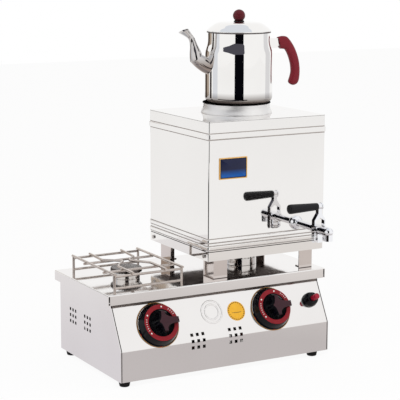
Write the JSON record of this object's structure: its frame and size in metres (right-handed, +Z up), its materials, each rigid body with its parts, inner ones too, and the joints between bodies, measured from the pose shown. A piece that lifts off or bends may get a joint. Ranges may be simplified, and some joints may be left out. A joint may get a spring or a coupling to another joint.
{
  "type": "gas tea boiler",
  "caption": "Stainless gas tea boiler: square jacketed water boiler with a lever tap and teapot on a low burner case with dial knobs, a wire pan grate and a piezo igniter.",
  "frame": {"origin": "middle of the whole part's footprint on the table", "axes": "+Z up, +Y to the back, +X to the right seen from the front with the knobs"},
  "size_m": [0.4454, 0.3518, 0.6231],
  "materials": {
    "case_steel": "mirror-polished stainless sheet",
    "boiler_steel": "polished stainless sheet",
    "tank_steel": "dull rolled stainless",
    "teapot_steel": "mirror-polished stainless",
    "tap_chrome": "bright plated brass",
    "grate_wire": "bright plated wire",
    "fastener_steel": "zinc-plated",
    "black_plastic": "satin moulded",
    "black_bakelite": "satin bakelite",
    "maroon_bakelite": "glossy bakelite",
    "red_button": "glossy moulded",
    "foot_rubber": "matt",
    "valve_brass": "machined",
    "spindle_steel": "turned",
    "gas_pipe": "drawn tube",
    "burner_alloy": "die-cast",
    "burner_cap_iron": "vitreous enamel",
    "electrode_ceramic": "glazed",
    "lead_silicone": "silicone",
    "mineral_wool": "fibrous",
    "plate_print": "printed sheet",
    "badge_print": "printed foil"
  },
  "bodies": {
    "base": {"front_panel": "case_steel", "left_side_panel": "case_steel", "right_side_panel": "case_steel", "rear_panel": "case_steel", "base_plate": "case_steel", "deck": "case_steel", "deck_screws": "fastener_steel", "rubber_feet": "foot_rubber", "foot_screws": "fastener_steel", "gas_manifold": "gas_pipe", "gas_inlet": "valve_brass", "feed_pipes": "gas_pipe", "injectors": "valve_brass", "spark_electrodes": "electrode_ceramic", "igniter_body": "black_plastic", "igniter_collar": "black_plastic", "ignition_leads": "lead_silicone", "badge": "badge_print", "boiler_legs": "boiler_steel", "boiler_screws": "fastener_steel", "skirt_frame": "boiler_steel", "jacket": "boiler_steel", "top_cover": "boiler_steel", "steam_collar": "boiler_steel", "inner_tank": "tank_steel", "insulation": "mineral_wool", "nameplate": "plate_print", "tap_body": "tap_chrome", "tap_flange": "tap_chrome", "tap_backnut": "valve_brass", "tap_pivot_pin": "tap_chrome", "left_valve_body": "valve_brass", "left_bezel": "black_plastic", "right_valve_body": "valve_brass", "right_bezel": "black_plastic", "left_burner_body": "burner_alloy", "left_burner_cap": "burner_cap_iron", "right_burner_body": "burner_alloy", "right_burner_cap": "burner_cap_iron"},
    "left_valve": {"left_valve_plug": "valve_brass"},
    "left_knob_set": {"left_valve_spindle": "spindle_steel", "left_knob": "black_plastic"},
    "right_valve": {"right_valve_plug": "valve_brass"},
    "right_knob_set": {"right_valve_spindle": "spindle_steel", "right_knob": "black_plastic"},
    "igniter_push": {"igniter_button": "red_button"},
    "tap_lever_set": {"tap_lever": "tap_chrome", "tap_handle": "black_bakelite", "tap_handle_bolt": "tap_chrome"},
    "tap_stem_set": {"tap_stem": "valve_brass"},
    "grate": {"pan_grate": "grate_wire"},
    "teapot": {"teapot_body": "teapot_steel", "teapot_spout": "teapot_steel", "handle_bracket": "teapot_steel", "teapot_handle": "maroon_bakelite", "handle_pin": "fastener_steel"},
    "lid": {"teapot_lid": "teapot_steel", "lid_knob": "maroon_bakelite", "lid_knob_screw": "fastener_steel"}
  },
  "joints": [
    {"name": "left_knob_turn", "type": "hinge", "parent": "base", "child": "left_valve", "pos_m": [-0.131, -0.08229, 0.09711], "axis": [0, -0.8829, 0.4695], "range_deg": [0, 210]},
    {"name": "left_knob_push", "type": "slide", "parent": "left_valve", "child": "left_knob_set", "axis": [0, 0.8829, -0.4695], "range_m": [0, 0.003], "stiffness_N_per_m": 800, "springref_m": -0.004},
    {"name": "right_knob_turn", "type": "hinge", "parent": "base", "child": "right_valve", "pos_m": [0.097, -0.08229, 0.09711], "axis": [0, -0.8829, 0.4695], "range_deg": [0, 210]},
    {"name": "right_knob_push", "type": "slide", "parent": "right_valve", "child": "right_knob_set", "axis": [0, 0.8829, -0.4695], "range_m": [0, 0.003], "stiffness_N_per_m": 800, "springref_m": -0.004},
    {"name": "igniter_press", "type": "slide", "parent": "base", "child": "igniter_push", "axis": [0, 0.8829, -0.4695], "range_m": [0, 0.006], "stiffness_N_per_m": 1000, "springref_m": -0.004},
    {"name": "tap_lever_swing", "type": "hinge", "parent": "base", "child": "tap_lever_set", "pos_m": [0.161, -0.1364, 0.228], "axis": [1, 0, 0], "range_deg": [0, 20], "stiffness_Nm_per_rad": 0.4, "springref_deg": -17.19},
    {"name": "tap_stem_slide", "type": "slide", "parent": "base", "child": "tap_stem_set", "axis": [0, -1, 0], "range_m": [0, 0.0066]},
    {"name": "grate_lift", "type": "slide", "parent": "base", "child": "grate", "axis": [0, 0, 1], "range_m": [0, 0.08]},
    {"name": "teapot_lift", "type": "slide", "parent": "base", "child": "teapot", "axis": [0, 0, 1], "range_m": [0, 0.15]},
    {"name": "lid_lift", "type": "slide", "parent": "teapot", "child": "lid", "axis": [0, 0, 1], "range_m": [0, 0.06]}
  ],
  "couplings": [
    {"joint": "tap_stem_slide", "follows": "tap_lever_swing", "m_per_rad": 0.018769}
  ]
}
